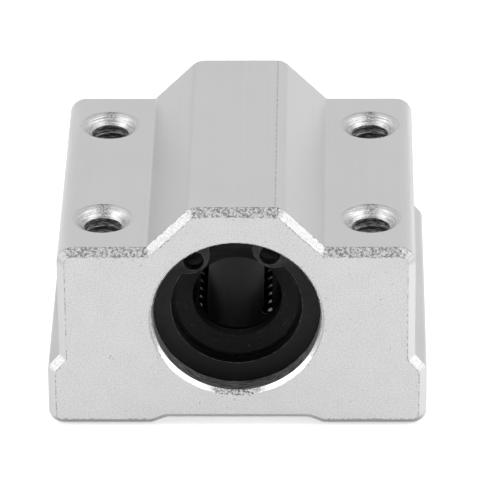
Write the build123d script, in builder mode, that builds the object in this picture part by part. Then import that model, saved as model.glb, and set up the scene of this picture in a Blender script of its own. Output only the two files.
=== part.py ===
from build123d import *
import os
from math import cos, floor, radians, sin, sqrt

# A linear bearing block: an extruded aluminium housing on a flanged base, holding a ball
# bushing for a round shaft between two circlips. Millimetres. The base stands on Z = 0,
# the shaft runs along Y, and the front face looks along -Y.

# Housing sizes
block_length = 30.0
block_width = 34.0
block_height = 22.0
ledge_width = 1.05
shoulder_height = 18.0
hump_top_width = 8.0
shoulder_width = 7.95
ledge_height = 5.8
ledge_slope_height = 1.25
base_relief_width = 12.8
base_relief_slope = 1.3
base_relief_depth = 0.55
shaft_height = 11.0
end_chamfer = 0.65

# Corner radii of the housing's outline
relief_corner_radius = 1.2
foot_corner_radius = 1.3
ledge_corner_radius = 0.9
inner_corner_radius = 0.3
shoulder_corner_radius = 1.5
hump_corner_radius = 1.5

# Fixing holes, tapped from the shoulders and drilled through to the base
hole_side_distance = 5.0
hole_end_distance = 6.0
thread_diameter = 4.0
thread_depth = 8.0
drill_diameter = 3.4
countersink_diameter = 5.4
countersink_angle = 100.0

# Shaft and ball bushing sizes
shaft_diameter = 8.0
bushing_diameter = 15.0
bushing_inset = 3.0
ring_groove_depth = 0.35
ring_groove_width = 1.1
ring_groove_span = 17.5
sleeve_seat_wall = 0.52
raceway_depth = 0.14

# Ball circuits: a load row, a return row and a half turn at each end
ball_diameter = 1.5
ball_spacing_gap = 0.03
circuit_count = 4
circuit_tilt = 12.0
first_circuit_angle = 45.0
bushing_turn = -5.0
track_end_wall = 0.35

# Seals and stop rings at the bushing's ends
seal_recess = 0.5
seal_thickness = 1.7
seal_face_width = 1.48
seal_cone_depth = 0.75
stop_ring_thickness = 0.6

# Circlips
clip_thickness = 1.0
clip_groove_depth = 0.35
clip_groove_width = 1.1
clip_far_width = 2.2
clip_side_width = 1.64
clip_lug_angle = 33.5
clip_lug_radius = 1.95
clip_lug_inset = 0.8
clip_hole_diameter = 1.9
clip_hole_inset = 1.6
clip_turn = 4.6

# Bore lead-in
lead_in_step = 0.35
lead_in_length = 0.45

# Clearances
bushing_fit = 0.01
shaft_fit = 0.01
lip_fit = 0.02
track_fit = 0.03
cage_fit = 0.05
cage_shaft_gap = 0.15
stop_ring_shaft_gap = 0.54
seat_fit = 0.03
clip_groove_fit = 0.05
clip_face_gap = 0.02

# Worked out for the housing
upper_width = block_width - 2 * ledge_width
hump_base_width = upper_width - 2 * shoulder_width
hole_spacing_across = block_width - 2 * hole_side_distance
hole_spacing_along = block_length - 2 * hole_end_distance
block_half = block_length / 2
bore_radius = bushing_diameter / 2
clip_groove_radius = bore_radius + clip_groove_depth

# Worked out for the ball circuits
shaft_radius = shaft_diameter / 2
ball_radius = ball_diameter / 2
ball_pitch = ball_diameter + ball_spacing_gap
load_radius = shaft_radius + shaft_fit + ball_radius
turn_radius = ball_pitch / sqrt(2)
track_radius = ball_radius + track_fit
tilt = radians(circuit_tilt)

# Worked out along the bushing, as distances from its middle
bushing_half = block_half - bushing_inset
seal_face = bushing_half - seal_recess
seal_back = seal_face - seal_thickness
stop_ring_back = seal_back - seat_fit - stop_ring_thickness
cage_half = stop_ring_back - seat_fit
row_room = 2 * (cage_half - track_end_wall - track_radius - turn_radius)
balls_in_row = floor(row_room / ball_pitch)
row_half = balls_in_row * ball_pitch / 2

# Worked out across the bushing
sleeve_radius = bore_radius - bushing_fit
ring_groove_radius = bore_radius - ring_groove_depth
sleeve_seat_radius = sleeve_radius - sleeve_seat_wall
land_radius = load_radius + track_radius - raceway_depth
cage_radius = land_radius - cage_fit
ring_radius = sleeve_seat_radius - seat_fit
clip_radius = clip_groove_radius - clip_groove_fit
clip_face = bushing_half + clip_face_gap
clip_groove_middle = clip_face + clip_thickness / 2

shaft_axis = Axis((0, 0, shaft_height), (0, 1, 0))
bushing_x = Vector(cos(radians(bushing_turn)), 0, sin(radians(bushing_turn)))
bushing_plane = Plane(origin=(0, 0, shaft_height), x_dir=bushing_x, z_dir=(0, -1, 0))
clip_x = Vector(cos(radians(clip_turn)), 0, sin(radians(clip_turn)))
clip_plane = Plane(origin=(0, 0, shaft_height), x_dir=clip_x, z_dir=(0, -1, 0))

# The plane of one circuit: X from the load row to the return row, Y along the shaft
circuit_plane = Plane(
    origin=(load_radius, 0, 0), x_dir=(sin(tilt), cos(tilt), 0), z_dir=(cos(tilt), -sin(tilt), 0)
)
circuit_middle = (load_radius + turn_radius * sin(tilt), turn_radius * cos(tilt))
load_row_section = Plane(origin=(load_radius, 0, 0), x_dir=(sin(tilt), cos(tilt), 0), z_dir=(0, 0, 1))

os.makedirs("parts", exist_ok=True)


# Housing

half_outline = [
    (0, base_relief_depth),
    (base_relief_width / 2, base_relief_depth),
    (base_relief_width / 2 + base_relief_slope, 0),
    (block_width / 2, 0),
    (block_width / 2, ledge_height),
    (upper_width / 2, ledge_height + ledge_slope_height),
    (upper_width / 2, shoulder_height),
    (hump_base_width / 2, shoulder_height),
    (hump_top_width / 2, block_height),
    (0, block_height),
]
outline_radii = [
    relief_corner_radius,
    relief_corner_radius,
    foot_corner_radius,
    ledge_corner_radius,
    inner_corner_radius,
    shoulder_corner_radius,
    inner_corner_radius,
    hump_corner_radius,
]

groove_outer = clip_groove_middle + clip_groove_width / 2
groove_inner = clip_groove_middle - clip_groove_width / 2
bore_steps = [
    (0, bore_radius),
    (groove_inner, bore_radius),
    (groove_inner, clip_groove_radius),
    (groove_outer, clip_groove_radius),
    (groove_outer, bore_radius),
    (block_half - lead_in_length, bore_radius),
    (block_half, bore_radius + lead_in_step),
]

with BuildPart() as housing:
    with BuildSketch(Plane.XZ):
        with BuildLine():
            FilletPolyline(*half_outline, radius=outline_radii)
            Line((0, block_height), (0, base_relief_depth))
        make_face()
        mirror(about=Plane.YZ)
    extrude(amount=block_half, both=True)
    end_faces = housing.faces().filter_by(Axis.Y)
    chamfer([edge for face in end_faces for edge in face.outer_wire().edges()], length=end_chamfer)

    with BuildSketch(Plane.YZ):
        with BuildLine():
            rear_half = [(y, shaft_height + r) for y, r in bore_steps]
            front_half = [(-y, z) for y, z in rear_half[:0:-1]]
            Polyline(
                (-block_half, shaft_height),
                *front_half,
                *rear_half,
                (block_half, shaft_height),
                close=True,
            )
        make_face()
    revolve(axis=shaft_axis, mode=Mode.SUBTRACT)

    with Locations(Plane.XY.offset(shoulder_height)):
        with GridLocations(hole_spacing_across, hole_spacing_along, 2, 2):
            CounterSinkHole(
                radius=thread_diameter / 2,
                counter_sink_radius=countersink_diameter / 2,
                counter_sink_angle=countersink_angle,
                depth=thread_depth,
            )
            Hole(radius=drill_diameter / 2)

housing.part.label = "housing"
export_step(housing.part, "parts/housing.step")


# Bushing sleeve: hardened tube with ring grooves outside and a pocket along each circuit

with BuildPart(bushing_plane) as bearing_sleeve:
    Cylinder(radius=sleeve_radius, height=2 * bushing_half)
    groove_offset = (ring_groove_span - ring_groove_width) / 2
    for side in (-1, 1):
        with BuildSketch(bushing_plane.offset(side * groove_offset)):
            Circle(radius=bore_radius)
            Circle(radius=ring_groove_radius, mode=Mode.SUBTRACT)
        extrude(amount=ring_groove_width / 2, both=True, mode=Mode.SUBTRACT)
    with BuildSketch(bushing_plane):
        Circle(radius=land_radius)
        with PolarLocations(0, circuit_count, start_angle=first_circuit_angle):
            with Locations(circuit_middle):
                SlotCenterToCenter(2 * turn_radius, 2 * track_radius, rotation=90 - circuit_tilt)
    extrude(amount=bushing_half, both=True, mode=Mode.SUBTRACT)
    for side in (-1, 1):
        with BuildSketch(bushing_plane.offset(side * stop_ring_back)):
            Circle(radius=sleeve_seat_radius)
        extrude(amount=side * (bushing_half - stop_ring_back), mode=Mode.SUBTRACT)

bearing_sleeve.part.label = "bearing_sleeve"
export_step(bearing_sleeve.part, "parts/bearing_sleeve.step")


# Ball track: the oval channel that one circuit of balls runs in. Beside the load row the
# cage keeps a lip on both sides, which narrows the slot and holds the balls in

lip_width = (2 - sqrt(2)) * track_radius

with BuildPart() as ball_track:
    with BuildSketch(circuit_plane.offset(-track_radius)):
        with Locations((turn_radius, 0)):
            SlotCenterToCenter(2 * row_half, 2 * (turn_radius + track_radius), rotation=90)
            SlotCenterToCenter(
                2 * row_half, 2 * (turn_radius - track_radius), rotation=90, mode=Mode.SUBTRACT
            )
    extrude(amount=2 * track_radius)
    with BuildSketch(load_row_section):
        for side in (-1, 1):
            with BuildLine():
                Polyline(
                    (side * track_radius, track_radius),
                    (side * (track_radius - lip_width), track_radius),
                    (side * track_radius, track_radius - lip_width),
                    close=True,
                )
            make_face()
    extrude(amount=row_half, both=True, mode=Mode.SUBTRACT)


# Ball cage: moulded tube with a lobe and a track for each circuit

with BuildPart(bushing_plane) as ball_cage:
    with BuildSketch(bushing_plane):
        Circle(radius=cage_radius)
        with PolarLocations(0, circuit_count, start_angle=first_circuit_angle):
            with Locations(circuit_middle):
                SlotCenterToCenter(
                    2 * turn_radius, 2 * (track_radius - cage_fit), rotation=90 - circuit_tilt
                )
        Circle(radius=shaft_radius + cage_shaft_gap, mode=Mode.SUBTRACT)
    extrude(amount=cage_half, both=True)
    with PolarLocations(0, circuit_count, start_angle=first_circuit_angle):
        add(ball_track.part, mode=Mode.SUBTRACT)

ball_cage.part.label = "ball_cage"
export_step(ball_cage.part, "parts/ball_cage.step")


# Balls, cut from a cube to 26 flats whose corners all lie on the ball's sphere, which
# keeps the four circuits light

cube_ratio = 1 + sqrt(2)
ball_flat = ball_diameter / sqrt(2 + cube_ratio**2)

with BuildPart() as ball:
    Box(*[ball_flat * cube_ratio] * 3)
    chamfer(ball.edges(), length=ball_flat / sqrt(2))

load_places = [(0, -row_half + k * ball_pitch) for k in range(balls_in_row)]
return_places = [(2 * turn_radius, row_half - k * ball_pitch) for k in range(balls_in_row)]
front_turn_places = [(0, row_half), (turn_radius, row_half + turn_radius)]
rear_turn_places = [(2 * turn_radius, -row_half), (turn_radius, -row_half - turn_radius)]
ball_groups = {
    "load_balls": load_places,
    "return_balls": return_places,
    "front_turn_balls": front_turn_places,
    "rear_turn_balls": rear_turn_places,
}
circuit_names = ["upper_right", "upper_left", "lower_left", "lower_right"]

for number, circuit_name in enumerate(circuit_names):
    circuit_angle = first_circuit_angle + number * 360 / circuit_count
    for group_name, places in ball_groups.items():
        centres = [circuit_plane.from_local_coords(Vector(x, y, 0)) for x, y in places]
        with BuildPart(bushing_plane) as ball_group:
            with PolarLocations(0, 1, start_angle=circuit_angle):
                with Locations(*centres):
                    add(ball.part)
        ball_group.part.label = f"{circuit_name}_{group_name}"
        export_step(ball_group.part, f"parts/{circuit_name}_{group_name}.step")


# Seals and stop rings

seal_lip_radius = shaft_radius + lip_fit
seal_outline = [
    (seal_face, ring_radius),
    (seal_face, ring_radius - seal_face_width),
    (seal_face - seal_cone_depth, seal_lip_radius),
    (seal_back, seal_lip_radius),
    (seal_back, ring_radius),
]
stop_ring_plane = stop_ring_back + stop_ring_thickness / 2

for end_name, side in (("front", 1), ("rear", -1)):
    with BuildPart() as seal:
        with BuildSketch(Plane.YZ):
            with BuildLine():
                seal_points = [(-side * along, shaft_height + r) for along, r in seal_outline]
                Polyline(*seal_points, close=True)
            make_face()
        revolve(axis=shaft_axis)
    seal.part.label = f"{end_name}_seal"
    export_step(seal.part, f"parts/{end_name}_seal.step")

    with BuildPart() as stop_ring:
        with BuildSketch(bushing_plane.offset(side * stop_ring_plane)):
            Circle(radius=ring_radius)
            Circle(radius=shaft_radius + stop_ring_shaft_gap, mode=Mode.SUBTRACT)
        extrude(amount=stop_ring_thickness / 2, both=True)
    stop_ring.part.label = f"{end_name}_stop_ring"
    export_step(stop_ring.part, f"parts/{end_name}_stop_ring.step")


# Circlips: a ring that tapers towards two lugs with plier holes

clip_inner_radius = clip_radius - (clip_far_width + clip_side_width) / 2
clip_inner_shift = clip_far_width - (clip_radius - clip_inner_radius)
lug_angles = (90 - clip_lug_angle, 90 + clip_lug_angle)

for end_name, side in (("front", 1), ("rear", -1)):
    with BuildPart() as circlip:
        with BuildSketch(clip_plane.offset(side * clip_groove_middle)):
            Circle(radius=clip_radius)
            with Locations((0, clip_inner_shift)):
                Circle(radius=clip_inner_radius, mode=Mode.SUBTRACT)
            with BuildLine():
                gap_ends = [PolarLocations(2 * clip_radius, 1, a).locations[0] for a in lug_angles]
                Polyline((0, 0), *[end.position for end in gap_ends], close=True)
            make_face(mode=Mode.SUBTRACT)
            with PolarLocations(clip_radius - clip_lug_inset, 1, start_angle=lug_angles[0]):
                Circle(radius=clip_lug_radius)
            with PolarLocations(clip_radius - clip_lug_inset, 1, start_angle=lug_angles[1]):
                Circle(radius=clip_lug_radius)
            Circle(radius=clip_radius, mode=Mode.INTERSECT)
            for lug_angle in lug_angles:
                with PolarLocations(clip_radius - clip_hole_inset, 1, start_angle=lug_angle):
                    Circle(radius=clip_hole_diameter / 2, mode=Mode.SUBTRACT)
        extrude(amount=clip_thickness / 2, both=True)
    circlip.part.label = f"{end_name}_circlip"
    export_step(circlip.part, f"parts/{end_name}_circlip.step")
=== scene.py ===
import math

import bmesh
import bpy
from mathutils import Matrix, Vector


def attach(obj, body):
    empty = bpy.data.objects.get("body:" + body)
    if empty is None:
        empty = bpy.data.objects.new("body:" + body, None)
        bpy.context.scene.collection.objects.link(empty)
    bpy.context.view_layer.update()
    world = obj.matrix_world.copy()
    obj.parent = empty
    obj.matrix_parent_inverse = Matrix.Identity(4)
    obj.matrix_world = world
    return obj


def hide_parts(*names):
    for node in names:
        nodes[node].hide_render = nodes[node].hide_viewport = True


# Looks for the linear bearing block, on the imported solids. Metres, in the solids' own frame:
# the base stands on Z = 0, the shaft runs along Y, and the front face looks along -Y.

MM = 0.001
WHITE = (1.0, 1.0, 1.0)

# Sizes that the masks and the added pieces share with the solids
SHAFT_HEIGHT = 11.0 * MM
BLOCK_HALF = 15.0 * MM
HOLE_X = 12.0 * MM
HOLE_Y = 9.0 * MM
SHOULDER_Z = 18.0 * MM
COUNTERSINK_RADIUS = 2.7 * MM
COUNTERSINK_HALF_ANGLE = math.radians(50.0)
BORE_RADIUS = 7.5 * MM
LEAD_IN_LENGTH = 0.45 * MM
LEAD_IN_STEP = 0.35 * MM
LEAD_IN_SLOPE = LEAD_IN_LENGTH / LEAD_IN_STEP
RIM_RADIUS = BORE_RADIUS + LEAD_IN_STEP
END_CHAMFER = 0.65 * MM
HUMP_BASE_HALF = 8.0 * MM
HUMP_TOP_Z = 22.0 * MM
UPPER_HALF = 15.95 * MM
FOOT_HALF = 17.0 * MM
LEDGE_Z = 5.8 * MM
LEDGE_TOP_Z = 7.05 * MM
BALL_RADIUS = 0.75 * MM

# M4 thread of the fixing holes. Its flats are in pitches, from the middle of the root
THREAD_RADIUS = 2.0 * MM
THREAD_ROOT_RADIUS = 1.985 * MM
THREAD_CREST_RADIUS = 1.66 * MM
THREAD_BACK_RADIUS = 2.02 * MM
THREAD_PITCH = 0.7 * MM
THREAD_DEPTH = 8.0 * MM
THREAD_START = 0.25 * MM
ROOT_FLAT_END = 1 / 16
CREST_FLAT_START = 3 / 8
STEPS_AROUND = 72
ROWS_PER_PITCH = 14

# Sizes of the housing's finish
OUTLINE_RADIUS = 1.4 * MM
CHAMFER_SWING = 0.5 * MM
RIM_ROUNDING = 0.4 * MM
SCORE_X = 3.5 * MM
MOTTLE_GRAIN = 0.15 * MM
TORN_GRAIN = 0.24 * MM
TOOL_MARK = 0.09 * MM

# Balls
BALL_SEGMENTS = 24
BALL_RINGS = 14

# Camera
CAMERA_TARGET = Vector((0, 0, 11.0)) * MM
CAMERA_YAW = math.radians(1.214)
CAMERA_ELEVATION = math.radians(28.829)
CAMERA_ROLL = math.radians(-0.611)
CAMERA_SIDE = -0.073 * MM
CAMERA_RISE = 0.157 * MM
CAMERA_DISTANCE = 474.773 * MM
FOCAL_PIXELS = 5179.797
IMAGE_PIXELS = 480
SENSOR_WIDTH = 36.0

# Studio
FLOOR_HALF = 2.0
WORLD_STRENGTH = 0.8
BOX_AZIMUTH = math.radians(76.0)
BOX_ELEVATION = math.radians(32.0)
BOX_DISTANCE = 0.45
BOX_WIDTH = 0.36
BOX_HEIGHT = 0.52
LEFT_RADIANCE = 1.3
RIGHT_RADIANCE = 1.5

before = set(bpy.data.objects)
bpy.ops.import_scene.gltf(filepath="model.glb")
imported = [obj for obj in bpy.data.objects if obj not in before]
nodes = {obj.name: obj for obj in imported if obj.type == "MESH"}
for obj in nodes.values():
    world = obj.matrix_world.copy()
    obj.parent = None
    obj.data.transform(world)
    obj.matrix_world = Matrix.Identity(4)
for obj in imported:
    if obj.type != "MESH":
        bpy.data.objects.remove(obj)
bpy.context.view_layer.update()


# Shader building


class Shader:
    """A material's node tree, with short calls for the nodes used here."""

    def __init__(self, name):
        self.material = bpy.data.materials.new(name)
        self.material.use_nodes = True
        tree = self.material.node_tree
        self.nodes, self.links = tree.nodes, tree.links
        self.bsdf = self.nodes["Principled BSDF"]
        coordinates = self.nodes.new("ShaderNodeTexCoord")
        self.place = coordinates.outputs["Object"]
        self.normal = coordinates.outputs["Normal"]

    def plug(self, socket, value):
        if isinstance(value, bpy.types.NodeSocket):
            self.links.new(value, socket)
        else:
            socket.default_value = value

    def set(self, **values):
        for name, value in values.items():
            self.plug(self.bsdf.inputs[name.replace("_", " ")], value)

    def math(self, operation, *values):
        node = self.nodes.new("ShaderNodeMath")
        node.operation = operation
        for socket, value in zip(node.inputs, values):
            self.plug(socket, value)
        return node.outputs[0]

    def plus(self, first, second):
        return self.math("ADD", first, second)

    def minus(self, first, second):
        return self.math("SUBTRACT", first, second)

    def times(self, product, *values):
        for value in values:
            product = self.math("MULTIPLY", product, value)
        return product

    def least(self, first, second):
        return self.math("MINIMUM", first, second)

    def most(self, first, second):
        return self.math("MAXIMUM", first, second)

    def absolute(self, value):
        return self.math("ABSOLUTE", value)

    def without(self, mask):
        return self.minus(1.0, mask)

    def length(self, first, second):
        squares = [self.math("POWER", value, 2.0) for value in (first, second)]
        return self.math("SQRT", self.plus(*squares))

    def point(self, *values):
        node = self.nodes.new("ShaderNodeCombineXYZ")
        for socket, value in zip(node.inputs, values):
            self.plug(socket, value)
        return node.outputs[0]

    def axes(self, vector):
        node = self.nodes.new("ShaderNodeSeparateXYZ")
        self.plug(node.inputs[0], vector)
        return node.outputs

    def stretched(self, x, y, z):
        node = self.nodes.new("ShaderNodeVectorMath")
        node.operation = "MULTIPLY"
        self.plug(node.inputs[0], self.place)
        node.inputs[1].default_value = (x, y, z)
        return node.outputs[0]

    def noise(self, size, detail=2.0, roughness=0.5, place=None):
        node = self.nodes.new("ShaderNodeTexNoise")
        self.plug(node.inputs["Vector"], place or self.place)
        node.inputs["Scale"].default_value = 1 / size
        node.inputs["Detail"].default_value = detail
        node.inputs["Roughness"].default_value = roughness
        return node.outputs["Fac"]

    def cells(self, size):
        node = self.nodes.new("ShaderNodeTexVoronoi")
        self.plug(node.inputs["Vector"], self.place)
        node.inputs["Scale"].default_value = 1 / size
        return node.outputs["Distance"]

    def ramp(self, value, start, end, low=0.0, high=1.0):
        node = self.nodes.new("ShaderNodeMapRange")
        node.interpolation_type = "SMOOTHSTEP"
        inputs = (value, start, end, low, high)
        for socket, setting in zip(node.inputs, inputs):
            self.plug(socket, setting)
        return node.outputs[0]

    def blend(self, factor, first, second):
        node = self.nodes.new("ShaderNodeMix")
        node.data_type = "FLOAT"
        for socket, value in zip(node.inputs[:1] + node.inputs[2:4], (factor, first, second)):
            self.plug(socket, value)
        return node.outputs[0]

    def tint(self, value, colour):
        node = self.nodes.new("ShaderNodeVectorMath")
        node.operation = "SCALE"
        node.inputs[0].default_value = colour
        self.plug(node.inputs["Scale"], value)
        return node.outputs[0]

    def rounded(self, radius):
        """The normal with edges rounded to a radius."""
        node = self.nodes.new("ShaderNodeBevel")
        node.samples = 6
        node.inputs["Radius"].default_value = radius
        return node.outputs[0]

    def edges(self, radius):
        """1 on edges that a rounding of this radius would take away, 0 elsewhere."""
        sharp = self.nodes.new("ShaderNodeNewGeometry")
        turn = self.nodes.new("ShaderNodeVectorMath")
        turn.operation = "DOT_PRODUCT"
        self.links.new(self.rounded(radius), turn.inputs[0])
        self.links.new(sharp.outputs["Normal"], turn.inputs[1])
        return self.ramp(turn.outputs["Value"], 0.9, 0.995, 1.0, 0.0)

    def relief(self, height, edge_radius=None):
        """Plugs a height in metres into the normal, over edges rounded to edge_radius."""
        bump = self.nodes.new("ShaderNodeBump")
        bump.inputs["Strength"].default_value = 1.0
        bump.inputs["Distance"].default_value = 1.0
        self.plug(bump.inputs["Height"], height)
        if edge_radius:
            self.links.new(self.rounded(edge_radius), bump.inputs["Normal"])
        self.links.new(bump.outputs[0], self.bsdf.inputs["Normal"])


# Housing. Each finish is a tone, a roughness and a height


class HousingShader(Shader):
    """The housing's node tree, with the distances, masks and patterns that its finishes share."""

    def __init__(self, name):
        super().__init__(name)
        self.mottle = self.noise(MOTTLE_GRAIN, 3.0, 0.7)
        self.torn = self.noise(TORN_GRAIN, 3.0, 0.72)
        self.measure_from_middle()
        self.measure_in_outline()
        self.measure_in_countersink()
        self.place_borders()
        self.mask_ends()
        self.mask_holes()

    def measure_from_middle(self):
        """Distances from the block's middle and the shaft's axis, and the way that a face looks."""
        self.x, y, self.z = self.axes(self.place)
        self.across = self.absolute(self.x)
        self.along = self.absolute(y)
        self.height = self.minus(self.z, SHAFT_HEIGHT)
        self.from_shaft = self.length(self.x, self.height)
        self.round_shaft = self.math("ARCTAN2", self.height, self.x)
        directions = self.axes(self.normal)
        self.looking_right, self.looking_up = directions[0], directions[2]
        self.facing_x, self.facing_y, self.facing_z = [self.absolute(part) for part in directions]

    def rounded_corner(self, first, second):
        """Depth inside a rounded corner, from the depths inside its two sides."""
        short = [self.most(self.minus(OUTLINE_RADIUS, depth), 0.0) for depth in (first, second)]
        return self.minus(OUTLINE_RADIUS, self.length(*short))

    def measure_in_outline(self):
        """Depth of a point inside the outline of the block's ends."""
        ledge = Vector((LEDGE_TOP_Z - LEDGE_Z, FOOT_HALF - UPPER_HALF)).normalized()
        out_from_middle = self.plus(self.times(self.across, ledge.x), self.times(self.z, ledge.y))
        in_ledge = self.minus(FOOT_HALF * ledge.x + LEDGE_Z * ledge.y, out_from_middle)
        in_foot = self.least(in_ledge, self.minus(FOOT_HALF, self.across))
        self.in_side = self.most(in_foot, self.minus(UPPER_HALF, self.across))
        from_slope = self.minus(HUMP_BASE_HALF + SHOULDER_Z, self.plus(self.across, self.z))
        in_hump = self.least(self.minus(HUMP_TOP_Z, self.z), self.times(from_slope, math.sqrt(0.5)))
        self.in_top = self.most(self.minus(SHOULDER_Z, self.z), in_hump)
        in_upper_corner = self.rounded_corner(self.in_side, self.in_top)
        in_lower_corner = self.rounded_corner(self.in_side, self.z)
        self.inward = self.least(in_upper_corner, in_lower_corner)

    def measure_in_countersink(self):
        """Distances from the nearest fixing hole, and the height of its rolled rim."""
        off_x = self.minus(self.across, HOLE_X)
        off_y = self.minus(self.along, HOLE_Y)
        self.beside_hole = self.absolute(off_x)
        self.from_hole = self.length(off_x, off_y)
        self.round_hole = self.math("ARCTAN2", off_y, off_x)
        self.to_rim = self.most(self.minus(self.from_hole, COUNTERSINK_RADIUS - RIM_ROUNDING), 0.0)
        below_rim = self.minus(RIM_ROUNDING**2, self.math("POWER", self.to_rim, 2.0))
        self.rim_height = self.times(below_rim, 1.1 / MM)

    def place_borders(self):
        """The borders of the chamfers and the lead-in, which wander, less on the upright runs."""
        beside_top = self.minus(self.in_side, self.in_top)
        wandering = self.minus(1.3, self.ramp(beside_top, -0.3 * MM, 0.3 * MM, 1.0, 0.3))
        swing = self.times(self.minus(self.noise(0.34 * MM, 3.0, 0.6), 0.5), CHAMFER_SWING)
        border = self.plus(self.times(swing, wandering), END_CHAMFER)
        self.past_face_line = self.minus(self.inward, border)
        self.past_top_line = self.minus(self.minus(BLOCK_HALF, self.along), border)
        narrowed = self.ramp(self.height, -6.0 * MM, -1.0 * MM, 0.0, 0.2 * MM)
        cut_rim = self.minus(self.plus(RIM_RADIUS, self.times(swing, 0.5)), narrowed)
        self.past_rim = self.minus(self.from_shaft, cut_rim)

    def mask_ends(self):
        """Where the end faces, the chamfers, the lead-in, the bore and the outer edges lie."""
        chamfer_start = BLOCK_HALF - END_CHAMFER
        lead_start = BLOCK_HALF - LEAD_IN_LENGTH
        near_end = self.ramp(self.along, chamfer_start - 0.08 * MM, chamfer_start + 0.02 * MM)
        in_lead = self.ramp(self.along, lead_start - 0.01 * MM, lead_start + 0.01 * MM)
        outside = self.ramp(self.from_shaft, RIM_RADIUS + 0.01 * MM, RIM_RADIUS + 0.06 * MM)
        flat = self.ramp(self.facing_y, 0.93, 0.99)
        self.is_end = self.times(near_end, flat)
        self.is_chamfer = self.times(near_end, self.without(flat), outside)
        self.is_lead_in = self.times(self.without(outside), in_lead, self.without(flat))
        self.is_wall = self.times(self.without(outside), self.without(in_lead))
        self.is_outer = self.ramp(self.across, UPPER_HALF - 1.7 * MM, UPPER_HALF - 0.9 * MM)
        self.at_shoulder = self.ramp(self.z, SHOULDER_Z - 1.8 * MM, SHOULDER_Z - 1.2 * MM)

    def mask_holes(self):
        """Where the countersinks and the drilled holes below them lie."""
        rim = COUNTERSINK_RADIUS
        in_rim = self.ramp(self.from_hole, rim, rim + 0.04 * MM, 1.0, 0.0)
        below = self.ramp(self.z, SHOULDER_Z - 0.02 * MM, SHOULDER_Z - 0.004 * MM, 1.0, 0.0)
        sunk = self.times(self.minus(SHOULDER_Z, self.z), math.tan(COUNTERSINK_HALF_ANGLE))
        off_cone = self.minus(self.minus(rim, sunk), self.from_hole)
        on_cone = self.ramp(self.absolute(off_cone), 0.03 * MM, 0.06 * MM, 1.0, 0.0)
        self.is_cone = self.times(in_rim, below, on_cone)
        self.is_drilled = self.times(in_rim, below, self.without(on_cone))

    def sided(self, ahead, gain):
        """A value that changes by gain from a face that looks ahead to one that looks right, for
        light or shade painted differently on the two sides.
        """
        return self.plus(ahead, self.times(self.looking_right, gain))


def painted_shade_by_facing(s):
    """How much darker than the top the slopes, the sides, their ledges and rounded edges are
    painted, as shade from the way the light falls, different on the left and the right.
    """
    tilted = s.ramp(s.facing_z, 0.72, 0.97, 1.0, 0.0)
    over_shoulder = s.ramp(s.z, SHOULDER_Z, SHOULDER_Z + 0.3 * MM)
    slope = s.times(tilted, over_shoulder, s.sided(0.125, -0.09))
    side = s.times(s.ramp(s.facing_x, 0.75, 0.99), 0.3)
    painted_edge_highlight = s.times(s.sided(0.225, -0.08), s.at_shoulder, s.ramp(s.facing_x, 0.5, 0.93))
    under_side = s.ramp(s.z, LEDGE_TOP_Z + 0.05 * MM, LEDGE_TOP_Z + 0.5 * MM, 1.0, 0.0)
    over_foot = s.ramp(s.z, LEDGE_Z - 0.4 * MM, LEDGE_Z)
    ledge = s.times(s.sided(0.31, -0.058), under_side, over_foot)
    outer = s.times(s.is_outer, s.most(side, s.most(painted_edge_highlight, ledge)))
    return s.plus(slope, outer)


def scored(s):
    """A broken line scored along the hump's right edge."""
    off_line = s.absolute(s.minus(s.x, SCORE_X))
    line = s.ramp(off_line, 0.03 * MM, 0.07 * MM, 1.0, 0.0)
    on_hump = s.ramp(s.z, SHOULDER_Z + 1.0 * MM, HUMP_TOP_Z)
    broken = s.ramp(s.noise(0.5 * MM, 3.0, 0.7), 0.4, 0.62, 0.1, 0.8)
    return s.times(line, on_hump, broken)


def extruded_finish(s):
    """Fine grain and faint die lines."""
    grain = s.noise(0.09 * MM, 3.0, 0.6)
    die_lines = s.noise(0.35 * MM, 3.0, 0.55, s.stretched(1, 0.012, 1))
    cloud = s.noise(6.0 * MM, 2.0)
    lined_tone = s.ramp(die_lines, 0.3, 0.7, 0.675, 0.695)
    tone = s.blend(0.5, lined_tone, s.ramp(cloud, 0.3, 0.7, 0.67, 0.7))
    # painted shade: the slopes, sides, ledges and rounded edges darkened by how the light falls on
    # them
    tone = s.times(tone, s.without(painted_shade_by_facing(s)))
    tone = s.blend(scored(s), tone, 0.3)
    rough = s.ramp(cloud, 0.3, 0.7, 0.36, 0.42)
    height = s.plus(s.times(grain, 0.0018 * MM), s.times(die_lines, 0.0012 * MM))
    height = s.plus(height, s.least(s.past_top_line, 0.0))
    return tone, rough, height


def end_finish(s):
    """Mottled, with dark pits, more of them close to the torn edges, and nicks along the edges."""
    patches = s.noise(2.2 * MM, 3.0, 0.55)
    off_edge = s.least(s.inward, s.minus(s.from_shaft, BORE_RADIUS))
    close_to_edge = s.ramp(off_edge, END_CHAMFER, END_CHAMFER + 0.6 * MM, 0.12, 0.0)
    scattered = s.plus(s.noise(0.9 * MM, 2.0), close_to_edge)
    pits = s.ramp(s.cells(0.5 * MM), 0.09, 0.17, 1.0, 0.0)
    pitted = s.times(pits, s.ramp(scattered, 0.56, 0.72))
    on_line = s.ramp(s.absolute(s.past_face_line), 0.03 * MM, 0.12 * MM, 1.0, 0.0)
    nicked = s.times(on_line, s.ramp(s.noise(0.26 * MM, 2.0), 0.48, 0.56, 0.0, 0.85))
    mottled_tone = s.ramp(s.mottle, 0.36, 0.64, 0.46, 0.66)
    tone = s.blend(0.35, mottled_tone, s.ramp(patches, 0.3, 0.7, 0.53, 0.58))
    tone = s.blend(pitted, tone, 0.3)
    tone = s.blend(nicked, tone, 0.24)
    rough = s.ramp(s.mottle, 0.3, 0.7, 0.5, 0.6)
    height = s.minus(s.times(s.mottle, 0.004 * MM), s.times(pitted, 0.012 * MM))
    height = s.plus(height, s.least(s.past_face_line, 0.0))
    height = s.plus(height, s.times(s.least(s.past_rim, 0.0), LEAD_IN_SLOPE))
    return tone, rough, height


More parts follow.
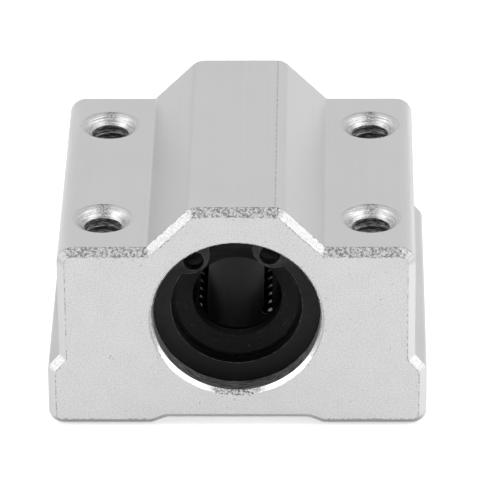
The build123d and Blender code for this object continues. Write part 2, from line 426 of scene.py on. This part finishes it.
def chamfer_finish(s):
    """Torn, glittering metal, calmer and streaked on the upright runs, with painted light and
    shade: the upright runs lighter on the right, the chamfers that face down and the outer corners
    at the shoulder darker.
    """
    level = s.ramp(s.facing_z, 0.51, 0.64)
    streaks = s.noise(0.12 * MM, 3.0, 0.6, s.stretched(1, 0.3, 1))
    streaked_tone = s.ramp(streaks, 0.36, 0.62, 0.46, 0.63)
    # painted light: upright runs lighter on the right, where more light falls
    steep_tone = s.blend(s.ramp(s.facing_z, 0.0, 0.4), s.sided(0.55, 0.055), streaked_tone)
    tone = s.blend(level, steep_tone, s.ramp(s.torn, 0.36, 0.6, 0.18, 0.6))
    # painted shade: chamfers that face down towards the floor are darker
    tone = s.blend(s.ramp(s.looking_up, -0.6, -0.2, 1.0, 0.0), tone, 0.32)
    # painted shade: the outer corners at the shoulder are darker
    is_corner = s.times(s.is_outer, s.at_shoulder, s.ramp(s.facing_x, 0.15, 0.35))
    tone = s.times(tone, s.without(s.times(is_corner, 0.2)))
    rough = s.blend(level, 0.36, s.ramp(s.torn, 0.3, 0.7, 0.2, 0.36))
    torn_depth = s.plus(s.times(s.torn, 0.09 * MM), s.times(s.cells(TORN_GRAIN), 0.03 * MM))
    height = s.times(torn_depth, s.ramp(s.facing_z, 0.3, 0.66, 0.12, 1.0))
    past_both = s.most(s.most(s.past_face_line, s.past_top_line), 0.0)
    height = s.minus(height, s.times(past_both, math.sqrt(2.0)))
    return tone, rough, height


def lead_in_finish(s, end_tone):
    """Bright and smooth, but torn low in the middle, up to a rim that wanders."""
    low = s.ramp(s.height, 0.0, 1.0 * MM, 1.0, 0.0)
    low_middle = s.times(s.ramp(s.across, 1.2 * MM, 3.4 * MM, 1.0, 0.15), low)
    smooth_tone = s.ramp(s.mottle, 0.34, 0.48, 0.6, 0.95)
    tone = s.blend(low_middle, smooth_tone, s.ramp(s.torn, 0.4, 0.56, 0.18, 0.75))
    tone = s.blend(s.ramp(s.past_rim, 0.0, 0.04 * MM), tone, end_tone)
    rough = s.ramp(s.past_rim, 0.0, 0.04 * MM, 0.3, 0.5)
    rolled_back = s.times(s.most(s.past_rim, 0.0), LEAD_IN_SLOPE * math.hypot(1, LEAD_IN_SLOPE))
    height = s.minus(s.times(s.torn, 0.06 * MM, low_middle), rolled_back)
    return tone, rough, height


def wall_finish(s):
    """Tool marks round the bore."""
    around = s.times(s.round_shaft, 0.8 * MM)
    turned = s.noise(TOOL_MARK, 3.0, 0.6, s.point(s.along, around, s.from_shaft))
    return s.ramp(turned, 0.38, 0.62, 0.26, 0.84), 0.5, s.times(turned, 0.012 * MM)


def countersink_finish(s):
    """Arcs left by the tool, broken, with painted shade darkening them at the front and the back.
    """
    around = s.times(s.round_hole, 0.1 * MM)
    arcs = s.noise(0.08 * MM, 3.0, 0.65, s.point(s.from_hole, around, s.z))
    broken = s.ramp(s.beside_hole, 0.2 * MM, 1.0 * MM, 0.05 * MM, 0.015 * MM)
    # painted shade: darker at the front and back of each countersink, broken by the mottle
    middle = s.ramp(s.beside_hole, 0.1 * MM, 0.9 * MM, 0.65, 0.0)
    painted_centre_shade = s.times(middle, s.ramp(s.mottle, 0.4, 0.6, 1.0, 0.2))
    on_rim = s.ramp(s.to_rim, 0.0, 0.35 * MM)
    tone = s.blend(on_rim, s.ramp(arcs, 0.36, 0.56, 0.4, 0.8), 0.68)
    tone = s.times(tone, s.without(painted_centre_shade))
    height = s.plus(s.times(arcs, 0.06 * MM), s.times(s.mottle, broken))
    return tone, 0.28, s.plus(height, s.rim_height)


def drilled_finish(s):
    """Rings down the fixing holes, painted dark as shade inside the holes."""
    around = s.times(s.round_hole, 0.25 * MM)
    rings = s.noise(TOOL_MARK, 3.0, 0.6, s.point(around, s.z, s.z))
    # painted shade: the inside of the holes is darker than the rest of the metal
    tone = s.ramp(rings, 0.46, 0.6, 0.07, 0.42)
    return tone, 0.45, s.plus(s.times(rings, 0.04 * MM), s.rim_height)


def aluminium():
    """Extruded aluminium, with milled ends, torn chamfers, a reamed bore and countersunk holes."""
    s = HousingShader("aluminium")
    end = end_finish(s)
    layers = (
        (s.is_end, end),
        (s.is_chamfer, chamfer_finish(s)),
        (s.is_lead_in, lead_in_finish(s, end[0])),
        (s.is_wall, wall_finish(s)),
        (s.is_cone, countersink_finish(s)),
        (s.is_drilled, drilled_finish(s)),
    )
    finish = extruded_finish(s)
    for mask, layer in layers:
        finish = [s.blend(mask, below, above) for below, above in zip(finish, layer)]
    tone, rough, height = finish
    s.set(Base_Color=s.tint(tone, WHITE), Roughness=rough)
    s.set(Metallic=s.blend(s.is_drilled, 1.0, 0.45))
    s.relief(height, 0.05 * MM)
    return s.material


# Materials of the bushing, the circlips and the floor


def phosphated_steel():
    """Dark spring steel of the circlips, with a dusty grain, lighter on its lugs, with painted
    highlights along its edges and painted shade darker towards the bottom.
    """
    s = Shader("phosphated_steel")
    z = s.axes(s.place)[2]
    grain = s.noise(0.06 * MM, 3.0, 0.6)
    cloud = s.noise(0.9 * MM, 3.0, 0.55)
    tone = s.times(s.ramp(grain, 0.3, 0.7, 0.6, 1.4), s.ramp(cloud, 0.3, 0.7, 0.007, 0.012))
    # painted shade: the circlip darkens towards its bottom
    tone = s.times(tone, s.ramp(z, SHAFT_HEIGHT - 7 * MM, SHAFT_HEIGHT, 0.2, 1.0))
    on_lugs = s.ramp(z, SHAFT_HEIGHT + 3.9 * MM, SHAFT_HEIGHT + 4.9 * MM)
    tone = s.plus(tone, s.times(on_lugs, s.ramp(cloud, 0.3, 0.7, 0.008, 0.022)))
    # painted highlight: lighter lines along the edges, broken by noise
    painted_edge_highlight = s.times(s.edges(0.1 * MM), s.ramp(s.noise(0.5 * MM, 3.0), 0.42, 0.6, 0.2, 1.0))
    tone = s.plus(tone, s.times(painted_edge_highlight, 0.1))
    s.set(Base_Color=s.tint(tone, (1.0, 1.0, 1.02)), Metallic=0.0, Specular_IOR_Level=0.12)
    s.set(Roughness=s.ramp(cloud, 0.3, 0.7, 0.38, 0.5))
    s.relief(s.times(grain, 0.004 * MM), 0.07 * MM)
    return s.material


def seal_rubber():
    """Black wiper rubber with fine turning marks round the shaft, pale specks, scuffs and painted
    highlights along its edges.
    """
    s = Shader("seal_rubber")
    x, y, z = s.axes(s.place)
    height = s.minus(z, SHAFT_HEIGHT)
    from_shaft = s.length(x, height)
    around = s.times(s.math("ARCTAN2", height, x), 0.5 * MM)
    marks = s.math("SINE", s.times(from_shaft, 2 * math.pi / (0.11 * MM)))
    dust = s.noise(0.18 * MM, 3.0, 0.6)
    specks = s.ramp(s.cells(0.55 * MM), 0.05, 0.09, 1.0, 0.0)
    specks = s.times(specks, s.ramp(s.noise(1.0 * MM, 1.0), 0.56, 0.64))
    scuffs = s.noise(0.1 * MM, 3.0, 0.6, s.point(from_shaft, around, y))
    scuffed = s.times(s.ramp(scuffs, 0.56, 0.66), s.ramp(s.noise(1.6 * MM, 2.0), 0.46, 0.62))
    tone = s.blend(specks, s.ramp(dust, 0.3, 0.7, 0.002, 0.006), 0.12)
    tone = s.plus(tone, s.times(scuffed, 0.02))
    # painted highlight: lighter lines along the edges
    tone = s.plus(tone, s.times(s.edges(0.09 * MM), s.ramp(dust, 0.4, 0.65, 0.004, 0.03)))
    s.set(Base_Color=s.tint(tone, WHITE), Specular_IOR_Level=0.1)
    s.set(Roughness=s.ramp(dust, 0.3, 0.7, 0.42, 0.55))
    s.relief(s.plus(s.times(marks, 0.0015 * MM), s.times(dust, 0.006 * MM)), 0.08 * MM)
    return s.material


def cage_plastic():
    """Black moulded cage plastic."""
    s = Shader("cage_plastic")
    texture = s.noise(0.12 * MM, 3.0, 0.6)
    flow = s.noise(1.6 * MM, 2.0, 0.5, s.stretched(1, 0.15, 1))
    tone = s.ramp(flow, 0.3, 0.7, 0.003, 0.006)
    s.set(Base_Color=s.tint(tone, WHITE), Specular_IOR_Level=0.065)
    s.set(Roughness=s.ramp(flow, 0.3, 0.7, 0.2, 0.3))
    s.relief(s.times(texture, 0.004 * MM), 0.08 * MM)
    return s.material


def chrome_steel():
    """Polished bearing balls with a trace of wear, painted dark, with dimmed grazing reflections,
    as shade inside the bore.
    """
    s = Shader("chrome_steel")
    wear = s.noise(0.35 * MM, 3.0, 0.6)
    # painted shade: the balls' tone and their grazing reflections are kept dark as shade inside the
    # bore
    tone = s.ramp(wear, 0.3, 0.7, 0.11, 0.17)
    s.set(Base_Color=s.tint(tone, (1.0, 1.0, 1.02)), Metallic=1.0)
    s.set(Roughness=s.ramp(wear, 0.35, 0.75, 0.02, 0.06), Specular_Tint=(0.25, 0.25, 0.25, 1.0))
    s.relief(s.times(wear, 0.0006 * MM))
    return s.material


def ground_steel(name, tone_low, tone_high):
    """Hardened steel, ground round the shaft's axis."""
    s = Shader(name)
    scratches = s.noise(0.3 * MM, 4.0, 0.6, s.stretched(0.2, 4.0, 0.2))
    cloud = s.noise(2.5 * MM, 2.0)
    tone = s.ramp(scratches, 0.3, 0.7, tone_low, tone_high)
    s.set(Base_Color=s.tint(tone, (1.0, 0.99, 0.97)), Metallic=1.0)
    s.set(Roughness=s.ramp(cloud, 0.3, 0.7, 0.22, 0.34))
    s.relief(s.times(scratches, 0.002 * MM), 0.05 * MM)
    return s.material


def white_table():
    """The floor: plain white board with a breath of unevenness."""
    s = Shader("white_table")
    cloud = s.noise(60 * MM, 2.0)
    s.set(Base_Color=s.tint(s.ramp(cloud, 0.3, 0.7, 0.9, 0.92), WHITE), Roughness=0.8)
    s.set(Emission_Color=(*WHITE, 1.0), Emission_Strength=0.35)
    return s.material


MATERIALS = {
    "housing": aluminium(),
    "circlip": phosphated_steel(),
    "sleeve": ground_steel("ground_steel", 0.5, 0.62),
    "cage": cage_plastic(),
    "balls": chrome_steel(),
    "seal": seal_rubber(),
    "stop_ring": ground_steel("stop_ring_steel", 0.4, 0.52),
}
NODE_SLOTS = {
    "housing": "housing",
    "front_circlip": "circlip",
    "rear_circlip": "circlip",
    "bearing_sleeve": "sleeve",
    "ball_cage": "cage",
    "front_seal": "seal",
    "rear_seal": "seal",
    "front_stop_ring": "stop_ring",
    "rear_stop_ring": "stop_ring",
}


def dress(piece, slot_name):
    piece.data.materials.clear()
    piece.data.materials.append(MATERIALS[slot_name])


for node_name, slot_name in NODE_SLOTS.items():
    dress(nodes[node_name], slot_name)


# Pieces


def new_object(name, shape):
    """Makes an object of a bmesh."""
    mesh = bpy.data.meshes.new(name)
    shape.to_mesh(mesh)
    shape.free()
    made = bpy.data.objects.new(name, mesh)
    bpy.context.scene.collection.objects.link(made)
    return made


def new_piece(name, shape, slot_name, body):
    """Makes an object of a bmesh, in its slot's material, riding on a body."""
    piece = new_object(name, shape)
    dress(piece, slot_name)
    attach(piece, body)
    return piece


def ball_centres(node):
    """The middle of each separate ball in a CAD node."""
    shape = bmesh.new()
    shape.from_mesh(node.data)
    bmesh.ops.remove_doubles(shape, verts=shape.verts, dist=0.001 * MM)
    seen, centres = set(), []
    for start in shape.verts:
        if start in seen:
            continue
        seen.add(start)
        ball, waiting = [], [start]
        while waiting:
            corner = waiting.pop()
            ball.append(corner.co.copy())
            for painted_edge_highlight in corner.link_edges:
                other = painted_edge_highlight.other_vert(corner)
                if other not in seen:
                    seen.add(other)
                    waiting.append(other)
        centres.append(sum(ball, Vector()) / len(ball))
    shape.free()
    return centres


def round_balls(node_name, body):
    """Smooth balls in the places of a CAD node's faceted ones."""
    shape = bmesh.new()
    for centre in ball_centres(nodes[node_name]):
        bmesh.ops.create_uvsphere(
            shape,
            u_segments=BALL_SEGMENTS,
            v_segments=BALL_RINGS,
            radius=BALL_RADIUS,
            matrix=Matrix.Translation(centre),
        )
    for face in shape.faces:
        face.smooth = True
    piece = new_piece(node_name + "_round", shape, "balls", body)
    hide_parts(node_name)


def thread_radius(turn, z):
    """The hole's radius at a height and a turn round it: the cone, then a 60 degree thread."""
    phase = (z / THREAD_PITCH + turn) % 1.0
    from_root = min(phase, 1 - phase)
    rise = (from_root - ROOT_FLAT_END) / (CREST_FLAT_START - ROOT_FLAT_END)
    rise = min(max(rise, 0.0), 1.0)
    cone = COUNTERSINK_RADIUS - (SHOULDER_Z - z) * math.tan(COUNTERSINK_HALF_ANGLE)
    started = min(max((THREAD_CREST_RADIUS - cone) / THREAD_START, 0.0), 1.0)
    thread_depth = (THREAD_ROOT_RADIUS - THREAD_CREST_RADIUS) * (1 - rise)
    tapped = THREAD_CREST_RADIUS + thread_depth * started
    return max(tapped, min(cone, THREAD_RADIUS))


def ring(shape, x, y, z, radii):
    """A ring of vertices round an upright axis, one at each radius."""
    corners = []
    for step, radius in enumerate(radii):
        angle = 2 * math.pi * step / len(radii)
        place = (x + radius * math.cos(angle), y + radius * math.sin(angle), z)
        corners.append(shape.verts.new(place))
    return corners


def thread(name, x, y):
    """A closed sleeve whose inside is the tapped thread of one hole."""
    tan_cone = math.tan(COUNTERSINK_HALF_ANGLE)
    top = SHOULDER_Z - (COUNTERSINK_RADIUS - THREAD_RADIUS) / tan_cone
    bottom = SHOULDER_Z - THREAD_DEPTH
    rows = math.ceil((top - bottom) / THREAD_PITCH * ROWS_PER_PITCH)
    shape = bmesh.new()
    inside = []
    for row in range(rows + 1):
        z = top + (bottom - top) * row / rows
        radii = [thread_radius(step / STEPS_AROUND, z) for step in range(STEPS_AROUND)]
        inside.append(ring(shape, x, y, z, radii))
    back = [ring(shape, x, y, z, [THREAD_BACK_RADIUS] * STEPS_AROUND) for z in (bottom, top)]
    rings = inside + back
    for upper, lower in zip(rings, rings[1:] + rings[:1]):
        for step in range(STEPS_AROUND):
            after = (step + 1) % STEPS_AROUND
            face = shape.faces.new((upper[step], upper[after], lower[after], lower[step]))
            face.smooth = True
    for sharp_ring in (inside[0], inside[-1], *back):
        for first, second in zip(sharp_ring, sharp_ring[1:] + sharp_ring[:1]):
            shape.edges.get((first, second)).smooth = False
    bmesh.ops.recalc_face_normals(shape, faces=shape.faces)
    new_piece(name, shape, "housing", "block")


CIRCUITS = ("upper_right", "upper_left", "lower_left", "lower_right")
MOTIONS = ("load", "return", "front_turn", "rear_turn")

for circuit in CIRCUITS:
    for motion in MOTIONS:
        round_balls(f"{circuit}_{motion}_balls", f"{circuit}_{motion}")

for side_name, side in (("left", -1), ("right", 1)):
    for end_name, end in (("front", -1), ("rear", 1)):
        thread(f"{end_name}_{side_name}_thread", side * HOLE_X, end * HOLE_Y)


# Studio


def look_direction(azimuth, elevation):
    """From the block towards a viewer. Azimuth 0 is the front, 90 degrees the right."""
    return Vector(
        (
            math.sin(azimuth) * math.cos(elevation),
            -math.cos(azimuth) * math.cos(elevation),
            math.sin(elevation),
        )
    )


def make_floor():
    shape = bmesh.new()
    bmesh.ops.create_grid(shape, x_segments=8, y_segments=8, size=FLOOR_HALF)
    floor = new_object("floor", shape)
    floor.data.materials.append(white_table())


def soft_light(name, azimuth, radiance):
    """A soft box that looks at the block."""
    towards = look_direction(azimuth, BOX_ELEVATION)
    data = bpy.data.lights.new(name, "AREA")
    data.shape = "RECTANGLE"
    data.size, data.size_y = BOX_WIDTH, BOX_HEIGHT
    data.energy = radiance * math.pi * BOX_WIDTH * BOX_HEIGHT
    light = bpy.data.objects.new(name, data)
    light.location = CAMERA_TARGET + towards * BOX_DISTANCE
    light.rotation_mode = "QUATERNION"
    light.rotation_quaternion = towards.to_track_quat("Z", "Y")
    light.visible_camera = False
    bpy.context.scene.collection.objects.link(light)


def make_world():
    world = bpy.data.worlds.new("studio")
    world.use_nodes = True
    background = world.node_tree.nodes["Background"]
    background.inputs["Color"].default_value = (*WHITE, 1.0)
    background.inputs["Strength"].default_value = WORLD_STRENGTH
    bpy.context.scene.world = world
    bpy.context.scene.view_settings.view_transform = "Standard"


def make_camera():
    back = look_direction(CAMERA_YAW, CAMERA_ELEVATION)
    level = Vector((math.cos(CAMERA_YAW), math.sin(CAMERA_YAW), 0))
    rise = back.cross(level)
    right = level * math.cos(CAMERA_ROLL) + rise * math.sin(CAMERA_ROLL)
    up = rise * math.cos(CAMERA_ROLL) - level * math.sin(CAMERA_ROLL)
    place = CAMERA_TARGET + back * CAMERA_DISTANCE - right * CAMERA_SIDE - up * CAMERA_RISE
    data = bpy.data.cameras.new("camera")
    data.sensor_width = SENSOR_WIDTH
    data.lens = FOCAL_PIXELS * SENSOR_WIDTH / IMAGE_PIXELS
    data.clip_start = 0.01
    data.clip_end = 10.0
    camera = bpy.data.objects.new("camera", data)
    turned = Matrix((right, up, back)).transposed().to_4x4()
    camera.matrix_world = Matrix.Translation(place) @ turned
    bpy.context.scene.collection.objects.link(camera)
    bpy.context.scene.camera = camera


make_floor()
make_world()
make_camera()
soft_light("left_box", -BOX_AZIMUTH, LEFT_RADIANCE)
soft_light("right_box", BOX_AZIMUTH, RIGHT_RADIANCE)
